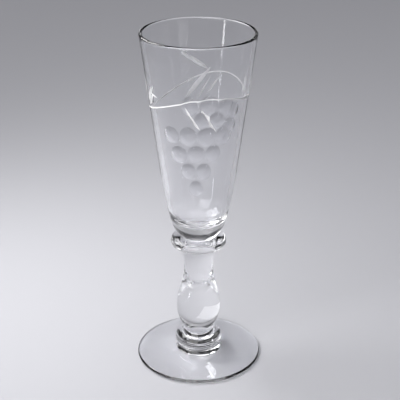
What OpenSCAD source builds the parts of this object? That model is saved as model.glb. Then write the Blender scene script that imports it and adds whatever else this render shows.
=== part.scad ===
// Cordial glass: a tall conical bowl on a collar, a baluster stem, a knop and a round foot.
// Each piece is one gather of glass, joined to the next on a flat disc.
// Origin at the middle of the foot's underside, Z up, and the cut bunch faces -Y.

/* [Bowl] */
// Width over the rim
rim_d = 46; // [42:0.5:52]
// Height of the bowl above the collar
bowl_h = 85.9; // [78:0.1:100]
// Thickness of the rounded lip
lip_t = 1.4; // [1:0.1:1.8]
// Width where the straight side ends and the belly begins
belly_d = 30.2; // [28:0.1:33]
// Height of that place above the collar
belly_h = 25.4; // [22:0.1:28]
// Thickness of the wall there
belly_t = 2.15; // [1.8:0.05:2.6]
// Radius of the long curve of the belly
belly_r = 140; // [120:1:180]
// Height above the collar where the long curve meets the tight one
turn_h = 6.4; // [5:0.1:7.5]
// Radius of the tight curve at the bottom of the bowl
turn_r = 14; // [12:0.5:18]
// Thickness of the solid glass under the hollow
floor_t = 5.9; // [4:0.1:8]
// Radius of the rounded bottom of the hollow
hollow_r = 8; // [6:0.1:9]

/* [Cutting] */
// Radius of the ball that each grape is cut with
grape_r = 12; // [9:0.5:16]
// Depth of a grape
grape_cut = 0.55; // [0.3:0.05:0.8]
// Length of the longest leaf
leaf_l = 17.3; // [12:0.1:20]
// Width of the broadest leaf
leaf_w = 1.9; // [1.2:0.1:2.6]
// Depth of the leaves and of the vine line
line_cut = 0.3; // [0.15:0.05:0.5]
// Width of the vine line
vine_w = 0.55; // [0.4:0.05:0.9]
// Mean height of the vine line above the collar
vine_h = 61.25; // [58:0.05:64]
// First, second and third swing of the vine line
vine_swing_1 = 3.57; // [0:0.01:4]
vine_swing_2 = 2.36; // [0:0.01:3]
vine_swing_3 = 0.6; // [0:0.01:1]

/* [Collar] */
// Width over the collar
collar_d = 23.1; // [21:0.1:27]
// Height of the collar from the stem to the bowl
collar_h = 5.2; // [4.8:0.1:7]
// Radius of its rounded edge
collar_edge_r = 1.9; // [1.4:0.1:2.2]
// Height of the middle of that edge above the stem
collar_edge_h = 2.5; // [2.3:0.1:2.7]

/* [Stem] */
// Height of the stem from the knop to the collar
stem_h = 38.9; // [36:0.1:44]
// Width of the slim neck
neck_d = 12.2; // [10:0.1:14]
// Height of the neck above the knop
neck_h = 29.5; // [26:0.1:31]
// Width of the bulb
bulb_d = 18.6; // [17:0.1:19.5]
// Height of the bulb's widest place above the knop
bulb_h = 10.5; // [10:0.1:12]
// Radius of the curve under the bulb's widest place
bulb_low_r = 14.5; // [13:0.5:15]
// Radius of the flare between neck and collar
flare_r = 40; // [30:1:60]
// Width of the stem where it stands on the knop
ankle_d = 13; // [12.5:0.1:14]

/* [Knop] */
// Width over the knop
knop_d = 19.8; // [18:0.1:23]
// Height of the knop from the foot to the stem
knop_h = 9; // [8.5:0.1:11]
// Radius of its rounded shoulder
knop_edge_r = 3.5; // [2.5:0.1:3.6]
// Height of its widest place above the foot
knop_edge_h = 4.1; // [4:0.1:4.8]
// Width of the waist under the shoulder
waist_d = 17.4; // [17:0.1:18]
// Radius of the hollow curve from waist to foot
waist_r = 2.2; // [2:0.1:2.4]
// Width of the flat disc on which the knop stands
seat_d = 20.4; // [19:0.1:20.8]

/* [Foot] */
// Width over the foot
foot_d = 52.6; // [48:0.1:60]
// Height of the foot at its middle
foot_h = 3.5; // [2.8:0.1:5]
// Thickness of its rounded edge
foot_edge_t = 1.8; // [1.4:0.1:2.4]
// Width of the flat ring on which the glass rests
rest_w = 1.4; // [0.8:0.1:3]
// Height of the shallow hollow under the foot
kick_h = 1; // [0.5:0.1:1.5]

/* [Hidden] */
$fn = 96;
// Steps of each round stretch of an outline
arc_steps = 16;
// One overrun serves every cut that has to pass through a face
overrun = 2;
glass = [0.80, 0.82, 0.87, 0.55];
cut_glass = [0.72, 0.76, 0.86, 0.6];

// Heights of the joints between the pieces
knop_z = foot_h;
stem_z = knop_z + knop_h;
collar_z = stem_z + stem_h;
bowl_z = collar_z + collar_h;
rim_z = bowl_z + bowl_h;

// The lip is a full round that the two sides of the wall touch
lip_r = lip_t / 2;
lip_z = rim_z - lip_r;
belly_z = bowl_z + belly_h;
side_lean = atan((rim_d - belly_d) / 2 / (lip_z - belly_z));
lip_x = rim_d / 2 - lip_r / cos(side_lean);
inner_lean = atan((lip_x - lip_r - (belly_d / 2 - belly_t)) / (lip_z - belly_z));
lip_out = [lip_x + lip_r * cos(side_lean), lip_z - lip_r * sin(side_lean)];
lip_in = [lip_x - lip_r * cos(inner_lean), lip_z + lip_r * sin(inner_lean)];

// Radius of the outside and of the hollow at a height on the straight side
function side_x(z) = lip_out[0] - (lip_out[1] - z) * tan(side_lean);
function inner_x(z) = lip_in[0] - (lip_in[1] - z) * tan(inner_lean);

// The long curve touches the straight side, and the tight curve touches the long one
belly_mid = [side_x(belly_z) - belly_r * cos(side_lean), belly_z + belly_r * sin(side_lean)];
turn_z = bowl_z + turn_h;
turn_lean = asin((belly_mid[1] - turn_z) / belly_r);
turn_x = belly_mid[0] + belly_r * cos(turn_lean);
turn_mid = [turn_x - turn_r * cos(turn_lean), turn_z + turn_r * sin(turn_lean)];
seat_lean = asin((turn_mid[1] - bowl_z) / turn_r);
bowl_seat_x = turn_mid[0] + turn_r * cos(seat_lean);

// The rounded bottom of the hollow touches its straight side and its flat floor
floor_z = bowl_z + floor_t;
hollow_z = floor_z + hollow_r;
hollow_x = inner_x(hollow_z) - hollow_r / cos(inner_lean);

// Two curves join the neck and the bulb, touching where they meet
neck_z = stem_z + neck_h;
bulb_z = stem_z + bulb_h;
swell = (bulb_d - neck_d) / 2;
swell_share = 0.42;
swell_r = ((neck_z - bulb_z) ^ 2 + swell ^ 2) / (2 * swell);
swell_lean = asin((neck_z - bulb_z) / swell_r);
bulb_r = swell_r * swell_share;
neck_r = swell_r - bulb_r;

// The curve under the bulb ends on the ankle, and the flare ends under the collar
ankle_lean = acos((ankle_d - bulb_d) / 2 / bulb_low_r + 1);
flare_lean = asin((collar_z - neck_z) / flare_r);
stem_top_x = neck_d / 2 + flare_r * (1 - cos(flare_lean));

// Angles at which the straight slopes leave the rounded edges
collar_top_turn = 70;
collar_low_turn = -75;
knop_top_turn = 75;
knop_low_turn = -25;

// The hollow curve of the knop ends on the edge of its seat
waist_lean = acos(1 - (seat_d - waist_d) / 2 / waist_r);
waist_z = knop_z + waist_r * sin(waist_lean);

// The foot's edge is a full round, and the hollow under it is part of a large ball
foot_edge_r = foot_edge_t / 2;
foot_edge_x = foot_d / 2 - foot_edge_r;
foot_slope = atan((foot_h - foot_edge_t) / (foot_edge_x - seat_d / 2));
kick_x = foot_edge_x - rest_w;
kick_r = (kick_x ^ 2 + kick_h ^ 2) / (2 * kick_h);
kick_lean = asin(kick_x / kick_r);

// The bunch, row by row: height as a share of the bowl, first azimuth, step in azimuth, count
bunch_shares = [
    [0.733, -8.5, 19, 2], [0.716, 30, 19, 1], [0.679, 46, 19, 1],
    [0.658, 1.5, 19.5, 2], [0.628, 38, 19, 1], [0.577, -35.5, 22.5, 4],
    [0.487, -25.5, 22, 3], [0.403, -14.2, 21, 2], [0.316, -2, 21, 1]
];

// The strokes: height as a share of the bowl, azimuth, slope, then shares of leaf length and width
stroke_shares = [
    [0.799, 186, 31, 0.86, 0.95], [0.693, 180.5, -49, 1, 1],
    [0.663, 173.5, -59, 0.63, 0.3], [0.678, 161.7, -55, 0.53, 0.4],
    [0.668, -6.9, -56.5, 0.62, 0.28], [0.658, 11.3, -57.5, 0.61, 0.28],
    [0.721, -78, -59, 0.42, 0.85], [0.74, -70, 84, 0.55, 0.95],
    [0.735, -62.5, 56, 0.5, 0.8], [0.712, -57, 30, 0.3, 0.6],
    [0.755, 90, -62, 0.5, 0.85], [0.78, 98, -86, 0.58, 0.95],
    [0.76, 106, 60, 0.5, 0.8], [0.735, 112, 33, 0.3, 0.6]
];

// Turn and count of the short cuts that make up the vine line
vine_turn_1 = 70.6;
vine_turn_2 = -27.8;
vine_turn_3 = 80.1;
vine_count = 48;
vine_lap_share = 1.15;

// Height of the vine line at an azimuth
function vine_z(a) = bowl_z + vine_h + vine_swing_1 * cos(a - vine_turn_1)
    + vine_swing_2 * cos(2 * a - vine_turn_2) + vine_swing_3 * cos(3 * a - vine_turn_3);

// Points on a round from one angle to another
function arc(mid, radius, from, to) =
    [for (k = [0 : arc_steps]) mid + radius * [
        cos(from + (to - from) * k / arc_steps), sin(from + (to - from) * k / arc_steps)
    ]];

// The same list without its first point, which the stretch before it ends on
function after_first(points) = [for (k = [1 : len(points) - 1]) points[k]];

// Turns an outline round the axis
module lathe(points) {
    rotate_extrude()
        polygon(points);
}

// Puts its children on the straight side of the bowl, X along the rim, Y up the wall, Z outwards
module on_side(azimuth, z) {
    rotate([0, 0, azimuth])
        translate([0, -side_x(z), z])
            rotate([90 + side_lean, 0, 0])
                children();
}

// One grape: a shallow round cut from a ball
module grape(azimuth, z) {
    on_side(azimuth, z)
        translate([0, 0, grape_r - grape_cut])
            sphere(grape_r);
}

module bunch() {
    for (row = bunch_shares)
        for (k = [0 : row[3] - 1])
            grape(row[1] + k * row[2], bowl_z + row[0] * bowl_h);
}

// One pointed stroke, as a block that stands through the surface
module stroke(azimuth, z, slope, length, width) {
    arc_r = (length ^ 2 + width ^ 2) / (4 * width);
    on_side(azimuth, z)
        rotate([0, 0, slope])
            translate([0, 0, -overrun])
                linear_extrude(2 * overrun)
                    intersection() {
                        translate([0, arc_r - width / 2])
                            circle(arc_r);
                        translate([0, width / 2 - arc_r])
                            circle(arc_r);
                    }
}

module strokes() {
    for (s = stroke_shares)
        stroke(s[1], bowl_z + s[0] * bowl_h, s[2], s[3] * leaf_l, s[4] * leaf_w);
}

// The vine line: short straight cuts end to end round the bowl
module vine() {
    step = 360 / vine_count;
    for (k = [0 : vine_count - 1]) {
        azimuth = k * step;
        z = vine_z(azimuth);
        rise = vine_z(azimuth + step / 2) - vine_z(azimuth - step / 2);
        run = 2 * side_x(z) * tan(step / 2);
        on_side(azimuth, z)
            rotate([0, 0, atan(rise / run)])
                cube([vine_lap_share * norm([run, rise]), vine_w, 2 * overrun], center = true);
    }
}

// All that lies outside the depth of the strokes, along the straight side
module stroke_layer() {
    depth = line_cut / cos(side_lean);
    difference() {
        translate([0, 0, belly_z])
            cylinder(h = bowl_h, r = rim_d);
        translate([0, 0, belly_z - overrun])
            cylinder(
                h = bowl_h + 2 * overrun,
                r1 = side_x(belly_z - overrun) - depth,
                r2 = side_x(belly_z + bowl_h + overrun) - depth
            );
    }
}

module bowl() {
    color(cut_glass)
        difference() {
            lathe(concat(
                [[0, bowl_z]],
                arc(turn_mid, turn_r, -seat_lean, -turn_lean),
                after_first(arc(belly_mid, belly_r, -turn_lean, -side_lean)),
                arc([lip_x, lip_z], lip_r, -side_lean, 180 - inner_lean),
                arc([hollow_x, hollow_z], hollow_r, -inner_lean, -90),
                [[0, floor_z]]
            ));
            bunch();
            intersection() {
                union() {
                    strokes();
                    vine();
                }
                stroke_layer();
            }
        }
}

module collar() {
    mid = [collar_d / 2 - collar_edge_r, collar_z + collar_edge_h];
    color(glass)
        lathe(concat(
            [[0, collar_z], [stem_top_x, collar_z]],
            arc(mid, collar_edge_r, collar_low_turn, collar_top_turn),
            [[bowl_seat_x, bowl_z], [0, bowl_z]]
        ));
}

module stem() {
    color(glass)
        lathe(concat(
            [[0, stem_z], [ankle_d / 2, stem_z]],
            arc([bulb_d / 2 - bulb_low_r, bulb_z], bulb_low_r, -ankle_lean, 0),
            after_first(arc([bulb_d / 2 - bulb_r, bulb_z], bulb_r, 0, swell_lean)),
            after_first(arc([neck_d / 2 + neck_r, neck_z], neck_r, 180 + swell_lean, 180)),
            after_first(arc([neck_d / 2 + flare_r, neck_z], flare_r, 180, 180 - flare_lean)),
            [[0, collar_z]]
        ));
}

module knop() {
    mid = [knop_d / 2 - knop_edge_r, knop_z + knop_edge_h];
    color(glass)
        lathe(concat(
            [[0, knop_z]],
            arc([waist_d / 2 + waist_r, waist_z], waist_r, 180 + waist_lean, 180),
            arc(mid, knop_edge_r, knop_low_turn, knop_top_turn),
            [[ankle_d / 2, stem_z], [0, stem_z]]
        ));
}

module foot() {
    color(glass)
        lathe(concat(
            arc([0, kick_h - kick_r], kick_r, 90, 90 - kick_lean),
            arc([foot_edge_x, foot_edge_r], foot_edge_r, -90, 90 - foot_slope),
            [[seat_d / 2, foot_h], [0, foot_h]]
        ));
}

bowl();
collar();
stem();
knop();
foot();
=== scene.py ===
"""Cordial glass: the visible model of a stemmed glass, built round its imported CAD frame.

The glass is five gathers of clear glass, fused to each other on flat discs: bowl, collar, stem,
knop and foot. Each class below turns one of them from an outline, and the bowl is then cut with a
bunch of grapes, pointed strokes and a vine line. All sizes are in metres, Z is up, and the bunch
faces -Y.
"""

import logging
import math
from dataclasses import dataclass, field
from enum import Enum

import bpy
from mathutils import Matrix, Vector


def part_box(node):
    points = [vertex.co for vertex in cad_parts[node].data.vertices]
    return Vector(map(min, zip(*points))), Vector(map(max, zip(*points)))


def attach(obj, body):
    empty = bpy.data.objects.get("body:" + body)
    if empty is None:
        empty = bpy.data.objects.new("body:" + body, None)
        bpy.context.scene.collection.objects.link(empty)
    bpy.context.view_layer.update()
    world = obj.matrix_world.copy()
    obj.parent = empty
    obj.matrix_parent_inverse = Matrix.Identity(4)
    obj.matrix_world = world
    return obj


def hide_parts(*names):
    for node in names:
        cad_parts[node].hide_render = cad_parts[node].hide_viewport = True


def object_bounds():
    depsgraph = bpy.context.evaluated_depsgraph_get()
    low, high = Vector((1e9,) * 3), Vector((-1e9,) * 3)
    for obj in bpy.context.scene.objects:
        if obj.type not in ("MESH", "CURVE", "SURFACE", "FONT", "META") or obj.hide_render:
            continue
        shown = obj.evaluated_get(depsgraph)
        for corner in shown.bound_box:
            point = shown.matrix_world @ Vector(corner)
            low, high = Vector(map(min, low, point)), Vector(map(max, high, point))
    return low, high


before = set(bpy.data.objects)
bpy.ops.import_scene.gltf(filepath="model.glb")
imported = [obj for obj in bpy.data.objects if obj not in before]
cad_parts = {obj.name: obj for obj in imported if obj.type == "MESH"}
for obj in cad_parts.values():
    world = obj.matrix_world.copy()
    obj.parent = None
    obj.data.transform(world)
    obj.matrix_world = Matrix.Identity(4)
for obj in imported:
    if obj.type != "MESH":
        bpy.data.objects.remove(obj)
cad_low, cad_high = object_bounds()

MM = 0.001
# Edges round a turned piece, and along one round stretch of its outline
TURN_STEPS = 256
ARC_STEPS = 24
# Points nearer than the first are one point, and a face nearer than the second is part of a joint
MERGE_GAP = 0.0005 * MM
JOINT_GAP = 0.01 * MM
# An edge sharper than this stays crisp
SHARP_ANGLE = math.radians(12)
# The most that a grape's wheel is stretched sideways
WIDEST_SPREAD = 3

log = logging.getLogger("cordial_glass")


class Slot(Enum):
    """The material slots."""

    CUT = "cut_glass"
    CLEAR = "clear_glass"


def deselect_all() -> None:
    """Deselects every object."""
    bpy.ops.object.select_all(action="DESELECT")


def make_active(piece: bpy.types.Object) -> None:
    """Selects one object alone and makes it the active one.

    Args:
        piece: The object that the next operators act on.
    """
    deselect_all()
    piece.select_set(True)
    bpy.context.view_layer.objects.active = piece


def on_circle(mid: tuple[float, float], radius: float, angle: float) -> tuple[float, float]:
    """Finds a point of a circle in the plane of an outline.

    Args:
        mid: Radius and height of the circle's middle.
        radius: The circle's own radius.
        angle: Where on the circle, anticlockwise from the outward side.

    Returns:
        The point's radius and height.
    """
    return mid[0] + radius * math.cos(angle), mid[1] + radius * math.sin(angle)


class Turning:
    """Half the section of a turned piece, drawn point by point, then spun round the axis."""

    def __init__(self, name: str, radius: float, height: float) -> None:
        """Starts the outline with one point.

        Args:
            name: The name of the finished piece.
            radius: The first point's distance from the axis.
            height: The first point's height.
        """
        deselect_all()
        bpy.ops.mesh.primitive_plane_add(size=MM)
        self.piece = bpy.context.object
        self.piece.name = name
        self.at = (radius, height)
        bpy.ops.object.mode_set(mode="EDIT")
        bpy.ops.mesh.select_all(action="SELECT")
        bpy.ops.mesh.merge(type="CENTER")
        bpy.ops.transform.translate(value=(radius, 0, height))

    def line(self, place: tuple[float, float], steps: int = 1) -> "Turning":
        """Draws a straight stretch.

        Args:
            place: Radius and height of its far end.
            steps: How many edges it has.

        Returns:
            The same outline.
        """
        offset = ((place[0] - self.at[0]) / steps, 0, (place[1] - self.at[1]) / steps)
        bpy.ops.mesh.extrude_repeat(steps=steps, offset=offset)
        self.at = place
        return self

    def arc(self, mid: tuple[float, float], turn: float, steps: int = ARC_STEPS) -> "Turning":
        """Draws a round stretch.

        Args:
            mid: Radius and height of the middle of the round.
            turn: Angle that it covers, anticlockwise if positive.
            steps: How many edges it has.

        Returns:
            The same outline.
        """
        bpy.ops.mesh.spin(steps=steps, angle=turn, center=(mid[0], 0, mid[1]), axis=(0, 1, 0))
        reach = math.hypot(self.at[0] - mid[0], self.at[1] - mid[1])
        start = math.atan2(self.at[1] - mid[1], self.at[0] - mid[0])
        self.at = on_circle(mid, reach, start + turn)
        return self

    def spin(self) -> bpy.types.Object:
        """Turns the outline into a closed piece.

        Returns:
            The piece, with its place in its mesh and its faces outwards.
        """
        bpy.ops.mesh.select_all(action="SELECT")
        bpy.ops.mesh.spin(steps=TURN_STEPS, angle=math.tau, center=(0, 0, 0), axis=(0, 0, 1))
        bpy.ops.mesh.select_all(action="SELECT")
        bpy.ops.mesh.remove_doubles(threshold=MERGE_GAP)
        bpy.ops.mesh.normals_make_consistent(inside=False)
        bpy.ops.object.mode_set(mode="OBJECT")
        return self.piece


class Combine(Enum):
    """How one closed mesh acts on another."""

    CUT = "DIFFERENCE"
    ADD = "UNION"


def combine(piece: bpy.types.Object, other: bpy.types.Object, how: Combine) -> None:
    """Cuts a closed mesh out of a piece or adds it, each face keeping its own finish.

    Args:
        piece: The piece that changes.
        other: The closed mesh, which is used up.
        how: Whether it is cut out or added.
    """
    make_active(piece)
    step = piece.modifiers.new("combine", "BOOLEAN")
    step.operation = how.value
    step.solver = "MANIFOLD"
    step.material_mode = "TRANSFER"
    step.object = other
    bpy.ops.object.modifier_apply(modifier=step.name)
    bpy.data.objects.remove(other)


def cut_all(piece: bpy.types.Object, cutters: list[bpy.types.Object]) -> None:
    """Cuts several closed meshes out of a piece at once.

    Args:
        piece: The piece that is cut.
        cutters: The meshes, which may overlap and are used up.
    """
    whole, *rest = cutters
    for cutter in rest:
        combine(whole, cutter, Combine.ADD)
    combine(piece, whole, Combine.CUT)


def copy_of(piece: bpy.types.Object) -> bpy.types.Object:
    """Copies an object with a mesh of its own.

    Args:
        piece: The object to copy.

    Returns:
        The copy.
    """
    copy = piece.copy()
    copy.data = piece.data.copy()
    bpy.context.collection.objects.link(copy)
    return copy


def face_out(piece: bpy.types.Object) -> None:
    """Turns all the faces of a closed mesh outwards.

    Args:
        piece: The object to mend.
    """
    make_active(piece)
    bpy.ops.object.mode_set(mode="EDIT")
    bpy.ops.mesh.select_all(action="SELECT")
    bpy.ops.mesh.normals_make_consistent(inside=False)
    bpy.ops.object.mode_set(mode="OBJECT")


def smooth(piece: bpy.types.Object) -> None:
    """Shades a piece smooth and keeps the edges of its cuts crisp.

    Args:
        piece: The finished piece.
    """
    make_active(piece)
    bpy.ops.object.shade_smooth_by_angle(angle=SHARP_ANGLE)


def new_group(name: str, inputs: dict[str, float], output: str) -> bpy.types.NodeTree:
    """Makes an empty shader group of plain number sockets.

    Args:
        name: The group's name.
        inputs: Names and first values of its inputs.
        output: Name of its one output.

    Returns:
        The group, with its Group Input and Group Output nodes.
    """
    group = bpy.data.node_groups.new(name, "ShaderNodeTree")
    for label, value in inputs.items():
        socket = group.interface.new_socket(label, in_out="INPUT", socket_type="NodeSocketFloat")
        socket.default_value = value
    group.interface.new_socket(output, in_out="OUTPUT", socket_type="NodeSocketFloat")
    group.nodes.new("NodeGroupInput")
    group.nodes.new("NodeGroupOutput")
    return group


class SharedEffects:
    """The two effects that every glass surface here shares, each built once as a group."""

    HAZE_DETAIL: float = 3.0
    HAZE_RANGE: tuple[float, float] = (0.42, 0.68)
    WAVE_DETAIL: float = 1.0
    WAVE_STRETCH: tuple[float, float, float] = (1.0, 1.0, 0.35)

    def __init__(self) -> None:
        """Builds both groups."""
        self.haze = self.build_haze()
        self.waves = self.build_waves()

    def build_haze(self) -> bpy.types.NodeTree:
        """Builds the faint clouds that handling leaves on glass.

        Returns:
            A group that puts out a roughness between Low and High.
        """
        group = new_group("handled_haze", {"Scale": 60.0, "Low": 0.0, "High": 0.02}, "Roughness")
        inner, outer = group.nodes["Group Input"], group.nodes["Group Output"]
        place = group.nodes.new("ShaderNodeTexCoord")
        cloud = group.nodes.new("ShaderNodeTexNoise")
        cloud.inputs["Detail"].default_value = self.HAZE_DETAIL
        spread = group.nodes.new("ShaderNodeMapRange")
        lowest, highest = self.HAZE_RANGE
        spread.inputs["From Min"].default_value = lowest
        spread.inputs["From Max"].default_value = highest
        group.links.new(place.outputs["Object"], cloud.inputs["Vector"])
        group.links.new(inner.outputs["Scale"], cloud.inputs["Scale"])
        group.links.new(cloud.outputs["Fac"], spread.inputs["Value"])
        group.links.new(inner.outputs["Low"], spread.inputs["To Min"])
        group.links.new(inner.outputs["High"], spread.inputs["To Max"])
        group.links.new(spread.outputs["Result"], outer.inputs["Roughness"])
        return group

    def build_waves(self) -> bpy.types.NodeTree:
        """Builds the slow waves of glass that was worked hot, drawn out along the axis.

        Returns:
            A group that puts out a height for a Bump node.
        """
        group = new_group("gather_waves", {"Scale": 90.0}, "Height")
        inner, outer = group.nodes["Group Input"], group.nodes["Group Output"]
        place = group.nodes.new("ShaderNodeTexCoord")
        drawn = group.nodes.new("ShaderNodeMapping")
        drawn.inputs["Scale"].default_value = self.WAVE_STRETCH
        wave = group.nodes.new("ShaderNodeTexNoise")
        wave.inputs["Detail"].default_value = self.WAVE_DETAIL
        group.links.new(place.outputs["Object"], drawn.inputs["Vector"])
        group.links.new(drawn.outputs["Vector"], wave.inputs["Vector"])
        group.links.new(inner.outputs["Scale"], wave.inputs["Scale"])
        group.links.new(wave.outputs["Fac"], outer.inputs["Height"])
        return group


@dataclass(frozen=True)
class GlassFinish:
    """How one glass surface looks, from fire polish to a frosted cut.

    Attributes:
        name: The material's name.
        tint: Colour of the light that it lets through.
        index: How strongly it bends light.
        clear: Share of it that is clear glass. The rest scatters light, as frosting does.
        haze: Its lowest and highest roughness.
        haze_scale: How fine the pattern of the haze is.
        wave_height: How high the slow waves of the surface are.
        wave_scale: How fine they are.
    """

    name: str
    tint: tuple[float, float, float] = (0.98, 0.982, 0.992)
    index: float = 1.5
    clear: float = 1.0
    haze: tuple[float, float] = (0.0, 0.02)
    haze_scale: float = 70.0
    wave_height: float = 0.0
    wave_scale: float = 90.0

    def build(self, shared: SharedEffects) -> bpy.types.Material:
        """Makes the material.

        Args:
            shared: The groups that glass surfaces have in common.

        Returns:
            A material with one Principled shader.
        """
        mat = bpy.data.materials.new(self.name)
        mat.use_nodes = True
        nodes, links = mat.node_tree.nodes, mat.node_tree.links
        shader = nodes["Principled BSDF"]
        shader.inputs["Base Color"].default_value = (*self.tint, 1.0)
        shader.inputs["IOR"].default_value = self.index
        shader.inputs["Transmission Weight"].default_value = self.clear
        haze = nodes.new("ShaderNodeGroup")
        haze.node_tree = shared.haze
        haze.inputs["Scale"].default_value = self.haze_scale
        haze.inputs["Low"].default_value, haze.inputs["High"].default_value = self.haze
        links.new(haze.outputs["Roughness"], shader.inputs["Roughness"])
        if self.wave_height > 0:
            waves = nodes.new("ShaderNodeGroup")
            waves.node_tree = shared.waves
            waves.inputs["Scale"].default_value = self.wave_scale
            bump = nodes.new("ShaderNodeBump")
            bump.inputs["Distance"].default_value = self.wave_height
            links.new(waves.outputs["Height"], bump.inputs["Height"])
            links.new(bump.outputs["Normal"], shader.inputs["Normal"])
        return mat


@dataclass(frozen=True)
class JointFinish:
    """The fused disc between two gathers, where light passes as if there were no surface."""

    name: str = "fused_joint"

    def build(self) -> bpy.types.Material:
        """Makes the material.

        Returns:
            A material with one Principled shader that neither bends nor mirrors light.
        """
        mat = bpy.data.materials.new(self.name)
        mat.use_nodes = True
        shader = mat.node_tree.nodes["Principled BSDF"]
        shader.inputs["Base Color"].default_value = (1.0, 1.0, 1.0, 1.0)
        shader.inputs["Roughness"].default_value = 0.0
        shader.inputs["IOR"].default_value = 1.0
        shader.inputs["Transmission Weight"].default_value = 1.0
        return mat


@dataclass
class Finishes:
    """Every material of the glass.

    Attributes:
        clear: Fire-polished glass.
        bowl: The bowl's smoother polish.
        grape: The polished hollows of the grapes, tinted grey as painted shade.
        leaf: The frosted leaves and side clusters.
        line: The frosted vine line and stalks.
        joint: The fused discs.
    """

    clear: bpy.types.Material
    bowl: bpy.types.Material
    grape: bpy.types.Material
    leaf: bpy.types.Material
    line: bpy.types.Material
    joint: bpy.types.Material

    @classmethod
    def build(cls) -> "Finishes":
        """Makes all the materials, with the groups that they share.

        Returns:
            The glass's materials.
        """
        shared = SharedEffects()
        # The grapes' grey is painted shade: the same glass, darkened to stand in for the shade that
        # their hollows refract.
        white, painted_shade_grey = (0.99, 0.99, 0.995), (0.79, 0.795, 0.825)
        frost_scale = 2500.0
        return cls(
            clear=GlassFinish("fire_polish", wave_height=0.05 * MM).build(shared),
            bowl=GlassFinish("bowl_polish", wave_height=0.03 * MM, wave_scale=60.0).build(shared),
            grape=GlassFinish(
                "polished_grape", painted_shade_grey, clear=0.93, haze=(0.08, 0.14), haze_scale=400.0
            ).build(shared),
            leaf=GlassFinish(
                "frosted_leaf", white, clear=0.45, haze=(0.45, 0.6), haze_scale=frost_scale
            ).build(shared),
            line=GlassFinish(
                "frosted_line", white, clear=0.1, haze=(0.5, 0.7), haze_scale=frost_scale
            ).build(shared),
            joint=JointFinish().build(),
        )


@dataclass
class Gather:
    """One gather of glass: what the bowl, collar, stem, knop and foot have in common.

    Attributes:
        node: The CAD node that it stands for.
        name: The piece's own name.
        slot: The material slot that it belongs to. It is not used.
        piece: The object, once it is built.
        low: Height of its lower end, read from the frame.
        high: Height of its upper end, read from the frame.
        width: Its width, read from the frame.
    """

    node: str
    name: str
    slot: Slot = Slot.CLEAR
    piece: bpy.types.Object | None = None
    low: float = 0.0
    high: float = 0.0
    width: float = 0.0

    def __post_init__(self) -> None:
        """Reads the piece's height and width from the frame."""
        lowest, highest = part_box(self.node)
        self.low, self.high = lowest.z, highest.z
        self.width = highest.x - lowest.x

    def build(self) -> None:
        """Builds the mesh. Each kind of gather has its own."""
        raise NotImplementedError

    def dress(self, finishes: Finishes) -> None:
        """Gives the piece clear glass, and its flat ends the joint's finish.

        Args:
            finishes: The glass's materials.
        """
        self.piece.data.materials.append(finishes.clear)
        self.piece.data.materials.append(finishes.joint)
        self.mark_joints()
        smooth(self.piece)

    def mark_joints(self, at_low: bool = True, at_high: bool = True) -> None:
        """Gives the second material to the flat discs that touch the next gathers.

        Args:
            at_low: Whether the lower end is such a disc.
            at_high: Whether the upper end is one.
        """
        ends = [z for z, wanted in ((self.low, at_low), (self.high, at_high)) if wanted]
        mesh = self.piece.data
        for face in mesh.polygons:
            heights = [mesh.vertices[v].co.z for v in face.vertices]
            if any(max(abs(h - z) for h in heights) < JOINT_GAP for z in ends):
                face.material_index = 1

    def mount(self) -> None:
        """Lets the piece stand for its CAD node and move with the glass."""
        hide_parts(self.node)
        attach(self.piece, "root")
        log.info("%s: %d faces", self.name, len(self.piece.data.polygons))


@dataclass
class Foot(Gather):
    """The round foot: a thin disc with a rounded edge and a shallow hollow underneath.

    Attributes:
        edge_t: Thickness of the rounded edge.
        rest_w: Width of the ring that it rests on.
        kick_h: Height of the hollow under its middle.
        seat_r: Radius of its joint with the knop.
    """

    node: str = "foot"
    name: str = "round_foot"
    edge_t: float = 1.8 * MM
    rest_w: float = 1.4 * MM
    kick_h: float = 1.0 * MM
    seat_r: float = 10.2 * MM

    def build(self) -> None:
        """Turns the foot."""
        edge_r = self.edge_t / 2
        edge_x = self.width / 2 - edge_r
        slope = math.atan((self.high - self.edge_t) / (edge_x - self.seat_r))
        kick_x = edge_x - self.rest_w
        kick_r = (kick_x**2 + self.kick_h**2) / (2 * self.kick_h)
        outline = Turning(self.name, 0, self.kick_h)
        outline.arc((0, self.kick_h - kick_r), -math.asin(kick_x / kick_r))
        outline.line((edge_x, 0))
        outline.arc((edge_x, edge_r), math.pi - slope)
        outline.line((self.seat_r, self.high), steps=ARC_STEPS)
        outline.line((0, self.high))
        self.piece = outline.spin()

    def mark_joints(self, at_low: bool = False, at_high: bool = True) -> None:
        """Marks only the disc under the knop."""
        super().mark_joints(at_low, at_high)


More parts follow.
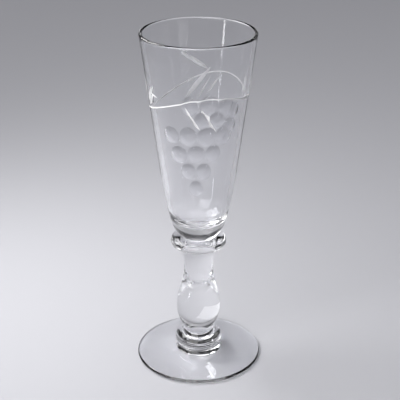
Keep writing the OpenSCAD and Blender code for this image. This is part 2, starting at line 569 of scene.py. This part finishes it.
@dataclass
class Knop(Gather):
    """The solid knop between foot and stem, with a few seed bubbles in it.

    Attributes:
        edge_r: Roundness of the bulge's edge.
        edge_h: Height of that round's middle.
        waist_x: Radius of the waist just above the foot.
        waist_r: Roundness of the waist.
        seat_r: Radius of its joint with the foot.
        ankle_r: Radius of its joint with the stem.
        bulge_r: Radius of the bulge.
        top_turn: Where on the bulge's edge the round stops.
        low_turn: Where on the bulge's edge the round starts.
        bubbles: Each seed bubble's place, its height counted from the foot, and its radius.
        bubble_steps: Segments and rings of a seed bubble.
    """

    node: str = "knop"
    name: str = "solid_knop"
    edge_r: float = 3.5 * MM
    edge_h: float = 4.1 * MM
    waist_x: float = 8.7 * MM
    waist_r: float = 2.2 * MM
    seat_r: float = 10.2 * MM
    ankle_r: float = 6.5 * MM
    bulge_r: float = 9.9 * MM
    top_turn: float = math.radians(75)
    low_turn: float = math.radians(-25)
    bubbles: tuple[tuple[float, float, float, float], ...] = (
        (-4.2 * MM, -5.6 * MM, 5.6 * MM, 0.6 * MM),
        (0.5 * MM, -7.0 * MM, 6.4 * MM, 0.55 * MM),
        (5.6 * MM, -5.2 * MM, 4.6 * MM, 0.5 * MM),
    )
    bubble_steps: tuple[int, int] = (24, 16)

    def build(self) -> None:
        """Turns the knop."""
        lean = math.acos(1 - (self.seat_r - self.waist_x) / self.waist_r)
        waist = (self.waist_x + self.waist_r, self.low + self.waist_r * math.sin(lean))
        mid = (self.bulge_r - self.edge_r, self.low + self.edge_h)
        outline = Turning(self.name, 0, self.low)
        outline.line((self.seat_r, self.low))
        outline.arc(waist, -lean)
        outline.line(on_circle(mid, self.edge_r, self.low_turn))
        outline.arc(mid, self.top_turn - self.low_turn)
        outline.line((self.ankle_r, self.high))
        outline.line((0, self.high))
        self.piece = outline.spin()

    def dress(self, finishes: Finishes) -> None:
        """Gives the knop its glass, then hollows out its bubbles.

        Args:
            finishes: The glass's materials.
        """
        super().dress(finishes)
        segments, rings = self.bubble_steps
        bubbles = []
        for x, y, up, radius in self.bubbles:
            deselect_all()
            bpy.ops.mesh.primitive_uv_sphere_add(
                segments=segments, ring_count=rings, radius=radius, location=(x, y, self.low + up)
            )
            bpy.ops.object.transform_apply()
            bubbles.append(bpy.context.object)
            bubbles[-1].data.materials.append(finishes.clear)
        cut_all(self.piece, bubbles)
        smooth(self.piece)


@dataclass
class Stem(Gather):
    """The baluster: a low bulb, a slim neck and a flare under the collar.

    Attributes:
        ankle_r: Radius of its joint with the knop.
        bulb_h: Height of the bulb's widest place.
        bulb_low_r: Roundness of the bulb below that place.
        neck_r: Radius of the neck.
        neck_h: Height of the neck's slimmest place.
        flare_r: Roundness of the flare above the neck.
        swell_share: Share of the curve from bulb to neck that swells out.
        top_r: Radius of its joint with the collar, once it is built.
    """

    node: str = "stem"
    name: str = "baluster_stem"
    ankle_r: float = 6.5 * MM
    bulb_h: float = 10.5 * MM
    bulb_low_r: float = 14.5 * MM
    neck_r: float = 6.1 * MM
    neck_h: float = 29.5 * MM
    flare_r: float = 40.0 * MM
    swell_share: float = 0.42
    top_r: float = 0.0

    def build(self) -> None:
        """Turns the stem."""
        bulb_x, bulb_z = self.width / 2, self.low + self.bulb_h
        neck_z = self.low + self.neck_h
        swell, rise = bulb_x - self.neck_r, neck_z - bulb_z
        swell_r = (rise**2 + swell**2) / (2 * swell)
        swell_turn = math.asin(rise / swell_r)
        bulb_r = swell_r * self.swell_share
        under = math.acos(1 - (bulb_x - self.ankle_r) / self.bulb_low_r)
        flare = math.asin((self.high - neck_z) / self.flare_r)
        low_mid = (bulb_x - self.bulb_low_r, bulb_z)
        outline = Turning(self.name, 0, self.low)
        outline.line((self.ankle_r, self.low))
        outline.line(on_circle(low_mid, self.bulb_low_r, -under))
        outline.arc(low_mid, under)
        outline.arc((bulb_x - bulb_r, bulb_z), swell_turn)
        outline.arc((self.neck_r + swell_r - bulb_r, neck_z), -swell_turn)
        outline.arc((self.neck_r + self.flare_r, neck_z), -flare)
        self.top_r = outline.at[0]
        outline.line((0, self.high))
        self.piece = outline.spin()


@dataclass(frozen=True)
class Wall:
    """The straight outside of the bowl, on which everything is cut.

    Attributes:
        radius: Its radius at its top.
        height: Height of its top.
        lean: Angle at which it leans out.
        low: Height of the bowl's lower end.
        tall: The bowl's own height.
    """

    radius: float
    height: float
    lean: float
    low: float
    tall: float

    def at(self, share: float) -> float:
        """Gives the height at a share of the bowl."""
        return self.low + share * self.tall

    def radius_at(self, z: float) -> float:
        """Gives the wall's radius at a height."""
        return self.radius + (z - self.height) * math.tan(self.lean)

    def point(self, azimuth: float, z: float, out: float = 0.0) -> Vector:
        """Finds a place on the wall or beside it.

        Args:
            azimuth: Angle round the bowl, from the side with the bunch.
            z: Height on the wall.
            out: Distance off the wall, outwards.

        Returns:
            The place.
        """
        foot = Vector((math.sin(azimuth), -math.cos(azimuth), 0)) * self.radius_at(z)
        return foot + Vector((0, 0, z)) + self.normal(azimuth) * out

    def normal(self, azimuth: float) -> Vector:
        """Gives the wall's outward direction at an azimuth."""
        flat = math.cos(self.lean)
        return Vector((math.sin(azimuth) * flat, -math.cos(azimuth) * flat, -math.sin(self.lean)))

    def wrap(
        self, azimuth: float, z: float, slope: float, along: float, across: float
    ) -> tuple[float, float]:
        """Lays a point of a flat drawing on the wall.

        Args:
            azimuth: Where the drawing's middle lies round the bowl.
            z: Its middle's height.
            slope: How far the drawing is turned, anticlockwise as seen from outside.
            along: The point's place along the drawing, before it is turned.
            across: Its place across it.

        Returns:
            The point's azimuth and height.
        """
        aside = along * math.cos(slope) - across * math.sin(slope)
        up = along * math.sin(slope) + across * math.cos(slope)
        height = z + up * math.cos(self.lean)
        return azimuth + aside / self.radius_at(height), height


@dataclass(frozen=True)
class Grape:
    """One grape, a shallow hollow that the edge of a round wheel leaves.

    Attributes:
        azimuth: Degrees round the bowl, from the middle of the side with the bunch.
        height_share: Its middle's share of the bowl's height.
        tall: How tall it is.
        wide: How wide it is.
        flatness: How much flatter it is cut than most, as some near the sides are.
    """

    azimuth: float
    height_share: float
    tall: float
    wide: float
    flatness: float = 1.0

    def wheel_r(self, wheel_share: float) -> float:
        """Gives the roundness of the wheel, which follows the grape's height."""
        return self.tall * self.flatness * wheel_share

    def depth(self, wheel_share: float) -> float:
        """Gives how deep the wheel goes in."""
        return self.tall**2 / (8 * self.wheel_r(wheel_share))

    def spread(self, wheel_share: float, wall_r: float) -> float:
        """Finds how much flatter the wheel has to be across, on a wall that curves away.

        Args:
            wheel_share: The wheel's roundness along the wall, as a share of the grape's height.
            wall_r: The wall's radius.

        Returns:
            The wheel's width as a share of its height.
        """
        wheel_r = self.wheel_r(wheel_share)
        across = 8 * self.depth(wheel_share) / self.wide**2 - 1 / wall_r
        return math.sqrt(1 / (wheel_r * max(across, 1 / (WIDEST_SPREAD**2 * wheel_r))))


@dataclass(frozen=True)
class Stroke:
    """One pointed cut.

    Attributes:
        height_share: Its middle's share of the bowl's height.
        azimuth: Degrees round the bowl, from the middle of the side with the bunch.
        slope: Degrees that it is turned, anticlockwise as seen from outside.
        length_share: Its share of the longest leaf's length.
        width_share: Its share of the widest leaf's width.
        fullest: Its widest place, as a share of the way along.
    """

    height_share: float
    azimuth: float
    slope: float
    length_share: float
    width_share: float
    fullest: float = 0.5


@dataclass
class Cutting:
    """The cut ornament: a bunch of grapes, pointed leaves and stalks, and the vine line.

    Attributes:
        wheel_share: Roundness of a grape's wheel, as a share of the grape's height.
        ball_steps: Segments and rings of the ball that the wheel's tip is cut from.
        near: Angle round the bowl within which a grape can have sunk the wall.
        lid: How far every cutter stands out of the wall.
        leaf_l: The longest leaf's length.
        leaf_w: The widest leaf's width.
        line_cut: The widest leaf's depth.
        thin_share: Share of that depth that a stroke of no width would have.
        stations: Stretches that a stroke is divided into.
        vine_w: The vine line's width.
        vine_cut: Its depth.
        vine_h: Its mean height above the collar.
        vine_swings: Size and turn of its waves: once round the bowl, twice, and three times.
        bunch: The grapes.
        leaves: The leaves at the back and the clusters at the sides.
        stalks: The two stalks in front.
    """

    wheel_share: float = 1.25
    ball_steps: tuple[int, int] = (48, 160)
    near: float = math.pi / 4
    lid: float = 0.15 * MM
    leaf_l: float = 17.3 * MM
    leaf_w: float = 1.9 * MM
    line_cut: float = 0.3 * MM
    thin_share: float = 0.55
    stations: int = 32
    vine_w: float = 0.55 * MM
    vine_cut: float = 0.25 * MM
    vine_h: float = 61.25 * MM
    vine_swings: tuple[tuple[float, float], ...] = (
        (3.57 * MM, math.radians(70.6)),
        (2.36 * MM, math.radians(-27.8)),
        (0.6 * MM, math.radians(80.1)),
    )
    bunch: tuple[Grape, ...] = (
        Grape(-9.4, 0.73, 8.1 * MM, 6.4 * MM),
        Grape(11.7, 0.73, 8.6 * MM, 7.3 * MM),
        Grape(31.7, 0.713, 8.1 * MM, 7.2 * MM, 1.2),
        Grape(43.2, 0.692, 6.6 * MM, 5.2 * MM, 1.7),
        Grape(3.6, 0.657, 7.4 * MM, 6.0 * MM),
        Grape(22.3, 0.658, 7.7 * MM, 6.9 * MM),
        Grape(38.6, 0.621, 6.9 * MM, 6.2 * MM, 1.5),
        Grape(-34.3, 0.578, 7.3 * MM, 6.8 * MM, 1.3),
        Grape(-12.4, 0.579, 8.6 * MM, 6.9 * MM),
        Grape(10.3, 0.579, 8.6 * MM, 7.6 * MM),
        Grape(32.1, 0.58, 8.8 * MM, 7.2 * MM, 1.35),
        Grape(-25.7, 0.485, 7.4 * MM, 7.0 * MM),
        Grape(-2.5, 0.492, 7.5 * MM, 7.0 * MM),
        Grape(18.9, 0.493, 7.5 * MM, 6.1 * MM),
        Grape(-13.6, 0.403, 7.2 * MM, 5.9 * MM),
        Grape(7.1, 0.402, 7.6 * MM, 5.9 * MM),
        Grape(-3.6, 0.315, 7.1 * MM, 5.5 * MM),
    )
    leaves: tuple[Stroke, ...] = (
        Stroke(0.799, 186, 31, 0.86, 0.95, 0.34),
        Stroke(0.693, 180.5, -49, 1, 1, 0.58),
        Stroke(0.663, 173.5, -59, 0.63, 0.3),
        Stroke(0.678, 161.7, -55, 0.53, 0.4, 0.35),
        Stroke(0.752, -80, 88, 0.55, 0.75, 0.6),
        Stroke(0.745, -66, 50, 0.62, 0.95, 0.45),
        Stroke(0.717, -65.6, 51, 0.42, 0.95, 0.4),
        Stroke(0.745, -57, -12, 0.27, 0.5, 0.3),
        Stroke(0.752, 99, 88, 0.55, 0.75, 0.6),
        Stroke(0.745, 95, -50, 0.62, 0.95, 0.55),
        Stroke(0.717, 93, -51, 0.42, 0.95, 0.6),
    )
    stalks: tuple[Stroke, ...] = (
        Stroke(0.667, -7, -58.2, 0.64, 0.36),
        Stroke(0.655, 12.3, -59.1, 0.66, 0.5),
    )

    def vine_z(self, azimuth: float) -> float:
        """Gives the vine line's height above the collar at an azimuth."""
        swings = enumerate(self.vine_swings, start=1)
        return self.vine_h + sum(size * math.cos(k * azimuth - turn) for k, (size, turn) in swings)

    def dent(self, wall: Wall, azimuth: float, z: float) -> float:
        """Finds how deep the grapes have sunk the wall, so that a later cut can follow them.

        Args:
            wall: The bowl's straight side.
            azimuth: Where on the wall.
            z: Height on the wall.

        Returns:
            The depth, or zero beside the grapes.
        """
        deepest = 0.0
        radius = wall.radius_at(z)
        for grape in self.bunch:
            turn = math.remainder(azimuth - math.radians(grape.azimuth), math.tau)
            rise = (z - wall.at(grape.height_share)) / math.cos(wall.lean)
            wheel_r = grape.wheel_r(self.wheel_share)
            gap = math.hypot(radius * math.sin(turn) / grape.spread(self.wheel_share, radius), rise)
            if gap < wheel_r and abs(turn) < self.near:
                fall = math.sqrt(wheel_r**2 - gap**2) - wheel_r + grape.depth(self.wheel_share)
                deepest = max(deepest, fall - radius * (1 - math.cos(turn)))
        return deepest

    def wheel_tip(self) -> bpy.types.Object:
        """Models the end of the round wheel that the grapes are cut with.

        Returns:
            A ball for a grape of unit height, cut down to its lowest part, with its lid closed.
        """
        lid = self.lid / min(grape.tall for grape in self.bunch)
        segments, rings = self.ball_steps
        deselect_all()
        bpy.ops.mesh.primitive_uv_sphere_add(
            segments=segments, ring_count=rings, radius=self.wheel_share
        )
        tip = bpy.context.object
        bpy.ops.object.mode_set(mode="EDIT")
        bpy.ops.mesh.select_all(action="SELECT")
        bpy.ops.mesh.bisect(
            plane_co=(0, 0, 1 / (8 * self.wheel_share) + lid - self.wheel_share),
            plane_no=(0, 0, 1),
            use_fill=True,
            clear_outer=True,
            threshold=MERGE_GAP,
        )
        bpy.ops.mesh.select_all(action="SELECT")
        bpy.ops.mesh.normals_make_consistent(inside=False)
        bpy.ops.object.mode_set(mode="OBJECT")
        return tip

    def cut_bunch(self, bowl: bpy.types.Object, wall: Wall, finish: bpy.types.Material) -> None:
        """Cuts the grapes into the wall.

        Args:
            bowl: The bowl.
            wall: Its straight side.
            finish: Material of the cut faces.
        """
        tip = self.wheel_tip()
        tip.data.materials.append(finish)
        tips = []
        for grape in self.bunch:
            azimuth, z = math.radians(grape.azimuth), wall.at(grape.height_share)
            out = grape.wheel_r(self.wheel_share) - grape.depth(self.wheel_share)
            middle = wall.point(azimuth, z, out)
            turn = wall.normal(azimuth).to_track_quat("Z", "Y").to_matrix().to_4x4()
            size = grape.tall * grape.flatness
            spread = grape.spread(self.wheel_share, wall.radius_at(z))
            wider = Matrix.Diagonal((size * spread, size, size, 1))
            tips.append(copy_of(tip))
            tips[-1].data.transform(Matrix.Translation(middle) @ turn @ wider)
        bpy.data.objects.remove(tip)
        cut_all(bowl, tips)

    def bar(self) -> bpy.types.Object:
        """Models the three-sided bar that every stroke is shaped from.

        Returns:
            A bar of unit length along X, with one edge downwards and many stations.
        """
        half_length = 0.5
        deselect_all()
        bpy.ops.mesh.primitive_cylinder_add(
            vertices=3, radius=1, depth=2 * half_length, rotation=(-math.pi / 2, 0, math.pi / 2)
        )
        bpy.ops.object.transform_apply(location=False, rotation=True, scale=False)
        bar = bpy.context.object
        bpy.ops.object.mode_set(mode="EDIT")
        bpy.ops.mesh.select_all(action="DESELECT")
        bpy.ops.object.mode_set(mode="OBJECT")
        verts = bar.data.vertices
        for edge in bar.data.edges:
            start, end = (verts[v].co for v in edge.vertices)
            edge.select = abs(start.x - end.x) > half_length
        bpy.ops.object.mode_set(mode="EDIT")
        bpy.ops.mesh.select_mode(type="EDGE")
        bpy.ops.mesh.subdivide(number_cuts=self.stations - 1)
        bpy.ops.mesh.select_mode(type="VERT")
        bpy.ops.object.mode_set(mode="OBJECT")
        return bar

    def cut_strokes(
        self,
        bowl: bpy.types.Object,
        wall: Wall,
        strokes: tuple[Stroke, ...],
        finish: bpy.types.Material,
    ) -> None:
        """Cuts a set of pointed strokes.

        Args:
            bowl: The bowl.
            wall: Its straight side.
            strokes: The strokes.
            finish: Material of the cut faces.
        """
        bar = self.bar()
        bar.data.materials.append(finish)
        blocks = []
        for stroke in strokes:
            length = stroke.length_share * self.leaf_l
            half_w = stroke.width_share * self.leaf_w / 2
            depth = self.line_cut * (self.thin_share + (1 - self.thin_share) * stroke.width_share)
            over = math.sqrt((depth + self.lid) / depth)
            azimuth, z = math.radians(stroke.azimuth), wall.at(stroke.height_share)
            lie = azimuth, z, math.radians(stroke.slope)
            block = copy_of(bar)
            for v in block.data.vertices:
                share = 2 * v.co.x * over
                reach = stroke.fullest if share < 0 else 1 - stroke.fullest
                along = (share * reach + stroke.fullest - 0.5) * length
                deep = depth * (1 - share**2) + self.dent(wall, *wall.wrap(*lie, along, 0))
                if v.co.z < 0:
                    v.co = wall.point(*wall.wrap(*lie, along, 0), -deep)
                else:
                    side = math.copysign((deep + self.lid) * half_w / depth, v.co.y)
                    v.co = wall.point(*wall.wrap(*lie, along, side), self.lid)
            face_out(block)
            blocks.append(block)
        bpy.data.objects.remove(bar)
        cut_all(bowl, blocks)

    def cut_vine(self, bowl: bpy.types.Object, wall: Wall, finish: bpy.types.Material) -> None:
        """Cuts the line that waves round the bowl.

        Args:
            bowl: The bowl.
            wall: Its straight side.
            finish: Material of the cut faces.
        """
        tube_r = 0.1
        deselect_all()
        bpy.ops.mesh.primitive_torus_add(
            major_segments=TURN_STEPS, minor_segments=3, major_radius=1, minor_radius=tube_r
        )
        ring = bpy.context.object
        ring.data.materials.append(finish)
        for v in ring.data.vertices:
            azimuth = math.atan2(v.co.x, -v.co.y)
            z = wall.low + self.vine_z(azimuth)
            deep = self.vine_cut + self.dent(wall, azimuth, z)
            if abs(v.co.z) < tube_r / 10:
                v.co = wall.point(azimuth, z, -deep)
            else:
                side = math.copysign(self.vine_w / 2 * (deep + self.lid) / self.vine_cut, v.co.z)
                v.co = wall.point(azimuth, z + side * math.cos(wall.lean), self.lid)
        face_out(ring)
        combine(bowl, ring, Combine.CUT)


@dataclass
class Bowl(Gather):
    """The tall conical bowl, with its rounded lip, thick floor and cut side.

    Attributes:
        cutting: The cut ornament.
        lip_t: Thickness of the lip.
        belly_d: Width at the belly, where the straight side ends.
        belly_h: Height of the belly.
        belly_t: Thickness of the wall at the belly.
        belly_r: Roundness of the side below the belly.
        turn_h: Height at which the side turns in to the collar.
        turn_r: Roundness of that turn.
        floor_t: Thickness of the solid bottom.
        hollow_r: Roundness of the hollow's bottom.
        wall_steps: Edges up the outside of the straight side.
        inner_steps: Edges down its inside.
        wall: The straight side, once it is built.
        seat_r: Radius of its joint with the collar, once it is built.
    """

    node: str = "bowl"
    name: str = "cut_bowl"
    slot: Slot = Slot.CUT
    cutting: Cutting = field(default_factory=Cutting)
    lip_t: float = 1.4 * MM
    belly_d: float = 30.2 * MM
    belly_h: float = 25.4 * MM
    belly_t: float = 2.15 * MM
    belly_r: float = 140.0 * MM
    turn_h: float = 6.4 * MM
    turn_r: float = 14.0 * MM
    floor_t: float = 5.9 * MM
    hollow_r: float = 8.0 * MM
    wall_steps: int = 120
    inner_steps: int = 40
    wall: Wall | None = None
    seat_r: float = 0.0

    def build(self) -> None:
        """Turns the bowl."""
        lip_r = self.lip_t / 2
        lip_z, belly_z = self.high - lip_r, self.low + self.belly_h
        tall, rim_r, belly_x = lip_z - belly_z, self.width / 2, self.belly_d / 2
        lean = math.atan((rim_r - belly_x) / tall)
        lip_mid = (rim_r - lip_r / math.cos(lean), lip_z)
        inner_lean = math.atan((lip_mid[0] - lip_r - belly_x + self.belly_t) / tall)
        lip_out = on_circle(lip_mid, lip_r, -lean)
        lip_in = on_circle(lip_mid, lip_r, math.pi - inner_lean)
        self.wall = Wall(*lip_out, lean, self.low, self.high - self.low)

        belly_at = (self.wall.radius_at(belly_z), belly_z)
        belly_mid = on_circle(belly_at, self.belly_r, math.pi - lean)
        turn_z = self.low + self.turn_h
        turn_lean = math.asin((belly_mid[1] - turn_z) / self.belly_r)
        turn_at = on_circle(belly_mid, self.belly_r, -turn_lean)
        turn_mid = on_circle(turn_at, self.turn_r, math.pi - turn_lean)
        seat_lean = math.asin((turn_mid[1] - self.low) / self.turn_r)
        hollow_z = self.low + self.floor_t + self.hollow_r
        inner_x = lip_in[0] - (lip_in[1] - hollow_z) * math.tan(inner_lean)
        hollow_mid = (inner_x - self.hollow_r / math.cos(inner_lean), hollow_z)

        self.seat_r = on_circle(turn_mid, self.turn_r, -seat_lean)[0]
        outline = Turning(self.name, 0, self.low)
        outline.line((self.seat_r, self.low))
        outline.arc(turn_mid, seat_lean - turn_lean)
        outline.arc(belly_mid, turn_lean - lean)
        outline.line(lip_out, steps=self.wall_steps)
        outline.arc(lip_mid, math.pi - inner_lean + lean)
        outline.line(on_circle(hollow_mid, self.hollow_r, -inner_lean), steps=self.inner_steps)
        outline.arc(hollow_mid, inner_lean - math.pi / 2)
        outline.line((0, self.low + self.floor_t))
        self.piece = outline.spin()

    def mark_joints(self, at_low: bool = True, at_high: bool = False) -> None:
        """Marks only the disc on the collar."""
        super().mark_joints(at_low, at_high)

    def dress(self, finishes: Finishes) -> None:
        """Gives the bowl its glass, then cuts its ornament.

        Args:
            finishes: The glass's materials.
        """
        self.piece.data.materials.append(finishes.bowl)
        self.piece.data.materials.append(finishes.joint)
        self.mark_joints()
        self.cutting.cut_bunch(self.piece, self.wall, finishes.grape)
        self.cutting.cut_vine(self.piece, self.wall, finishes.line)
        self.cutting.cut_strokes(self.piece, self.wall, self.cutting.leaves, finishes.leaf)
        self.cutting.cut_strokes(self.piece, self.wall, self.cutting.stalks, finishes.line)
        smooth(self.piece)


@dataclass
class Collar(Gather):
    """The ring of glass between stem and bowl, as wide at its two joints as they are.

    Attributes:
        stem: The stem below it.
        bowl: The bowl above it.
        edge_r: Roundness of its edge.
        edge_h: Height of that round's middle.
        top_turn: Where on its edge the round stops.
        low_turn: Where on its edge the round starts.
    """

    node: str = "collar"
    name: str = "ring_collar"
    stem: Stem | None = None
    bowl: Bowl | None = None
    edge_r: float = 1.9 * MM
    edge_h: float = 2.5 * MM
    top_turn: float = math.radians(70)
    low_turn: float = math.radians(-75)

    def build(self) -> None:
        """Turns the collar."""
        mid = (self.width / 2 - self.edge_r, self.low + self.edge_h)
        outline = Turning(self.name, 0, self.low)
        outline.line((self.stem.top_r, self.low))
        outline.line(on_circle(mid, self.edge_r, self.low_turn))
        outline.arc(mid, self.top_turn - self.low_turn)
        outline.line((self.bowl.seat_r, self.high))
        outline.line((0, self.high))
        self.piece = outline.spin()


@dataclass(frozen=True)
class Softbox:
    """One soft lamp that faces the glass.

    Attributes:
        name: The lamp's name.
        at: Where it hangs.
        size: Its width and height.
        watts: Its power.
    """

    name: str
    at: tuple[float, float, float]
    size: tuple[float, float]
    watts: float

    def hang(self, target: Vector) -> None:
        """Hangs the lamp.

        Args:
            target: The place that it faces.
        """
        lamp = bpy.data.lights.new(self.name, "AREA")
        lamp.shape = "RECTANGLE"
        lamp.size, lamp.size_y = self.size
        lamp.energy = self.watts
        holder = bpy.data.objects.new(self.name, lamp)
        bpy.context.collection.objects.link(holder)
        holder.location = self.at
        holder.rotation_euler = (target - Vector(self.at)).to_track_quat("-Z", "Y").to_euler()


@dataclass
class Studio:
    """The pale floor, the soft surround, the lamps and the camera.

    Attributes:
        pale: Colour of the floor, and of the surround where its level is 1.
        surround: The surround's level at some heights, from 0 at the horizon to 1 overhead.
        floor_r: Radius of the floor.
        floor_sides: How many sides it has.
        floor_rough: Its roughness.
        floor_shine: How strongly it mirrors.
        lamps: The soft lamps.
        camera_at: Where the camera stands.
        camera_down: Angle at which it looks down.
        focal_share: Its focal length, as a share of the sensor's width.
        sensor: The sensor's width in millimetres.
        bounces: How often light may pass from surface to surface.
        mirror_bounces: How often it may be mirrored.
    """

    pale: tuple[float, float, float] = (0.5, 0.5, 0.525)
    surround: tuple[tuple[float, float], ...] = (
        (0.14, 0.78),
        (0.2, 0.05),
        (0.85, 0.05),
        (1.0, 4.8),
    )
    floor_r: float = 6.0
    floor_sides: int = 96
    floor_rough: float = 0.7
    floor_shine: float = 0.2
    lamps: tuple[Softbox, ...] = (
        Softbox("front", (-0.6, -1.0, 0.85), (1.2, 1.2), 17.0),
        Softbox("key", (-0.14, 0.06, 0.22), (0.16, 0.16), 0.54),
        Softbox("strip", (-0.6, -0.4, 0.135), (0.03, 0.21), 0.3),
    )
    camera_at: tuple[float, float, float] = (0.62 * MM, -398.0 * MM, 252.5 * MM)
    camera_down: float = 0.426
    focal_share: float = 2.6724
    sensor: float = 36.0
    bounces: int = 24
    mirror_bounces: int = 8

    def build(self) -> None:
        """Builds everything round the glass."""
        self.build_floor()
        self.build_surround()
        for lamp in self.lamps:
            lamp.hang(Vector((0, 0, (cad_low.z + cad_high.z) / 2)))
        self.build_camera()
        bpy.context.scene.view_settings.view_transform = "Standard"
        cycles = bpy.context.scene.cycles
        cycles.use_denoising = True
        cycles.max_bounces = self.bounces
        cycles.transmission_bounces = self.bounces
        cycles.glossy_bounces = self.mirror_bounces
        cycles.blur_glossy = 0.0

    def build_floor(self) -> None:
        """Lays the plain pale floor."""
        deselect_all()
        bpy.ops.mesh.primitive_circle_add(
            vertices=self.floor_sides, radius=self.floor_r, fill_type="NGON"
        )
        floor = bpy.context.object
        floor.name = "studio_floor"
        mat = bpy.data.materials.new("pale_floor")
        mat.use_nodes = True
        shader = mat.node_tree.nodes["Principled BSDF"]
        shader.inputs["Base Color"].default_value = (*self.pale, 1.0)
        shader.inputs["Roughness"].default_value = self.floor_rough
        shader.inputs["Specular IOR Level"].default_value = self.floor_shine
        floor.data.materials.append(mat)

    def build_surround(self) -> None:
        """Makes the surround: pale at the horizon, dark above it, and bright overhead."""
        world = bpy.data.worlds.new("studio")
        bpy.context.scene.world = world
        world.use_nodes = True
        nodes, links = world.node_tree.nodes, world.node_tree.links
        place = nodes.new("ShaderNodeTexCoord")
        height = nodes.new("ShaderNodeSeparateXYZ")
        ramp = nodes.new("ShaderNodeValToRGB")
        stops = ramp.color_ramp.elements
        while len(stops) < len(self.surround):
            stops.new(1.0)
        for stop, (at, level) in zip(stops, self.surround):
            stop.position = at
            stop.color = (*(level * c for c in self.pale), 1.0)
        links.new(place.outputs["Generated"], height.inputs["Vector"])
        links.new(height.outputs["Z"], ramp.inputs["Fac"])
        links.new(ramp.outputs["Color"], nodes["Background"].inputs["Color"])

    def build_camera(self) -> None:
        """Sets the camera where the photograph was taken from."""
        lens = bpy.data.cameras.new("camera")
        lens.sensor_width = self.sensor
        lens.lens = self.sensor * self.focal_share
        camera = bpy.data.objects.new("camera", lens)
        bpy.context.collection.objects.link(camera)
        camera.location = self.camera_at
        camera.rotation_euler = (math.pi / 2 - self.camera_down, 0, 0)
        bpy.context.scene.camera = camera


def main() -> None:
    """Builds the glass piece by piece, then the studio."""
    logging.basicConfig(level=logging.INFO, format="%(name)s: %(message)s")
    finishes = Finishes.build()
    stem, bowl = Stem(), Bowl()
    for gather in (Foot(), Knop(), stem, bowl, Collar(stem=stem, bowl=bowl)):
        gather.build()
        gather.dress(finishes)
        gather.mount()
    Studio().build()


if __name__ == "__main__":
    main()
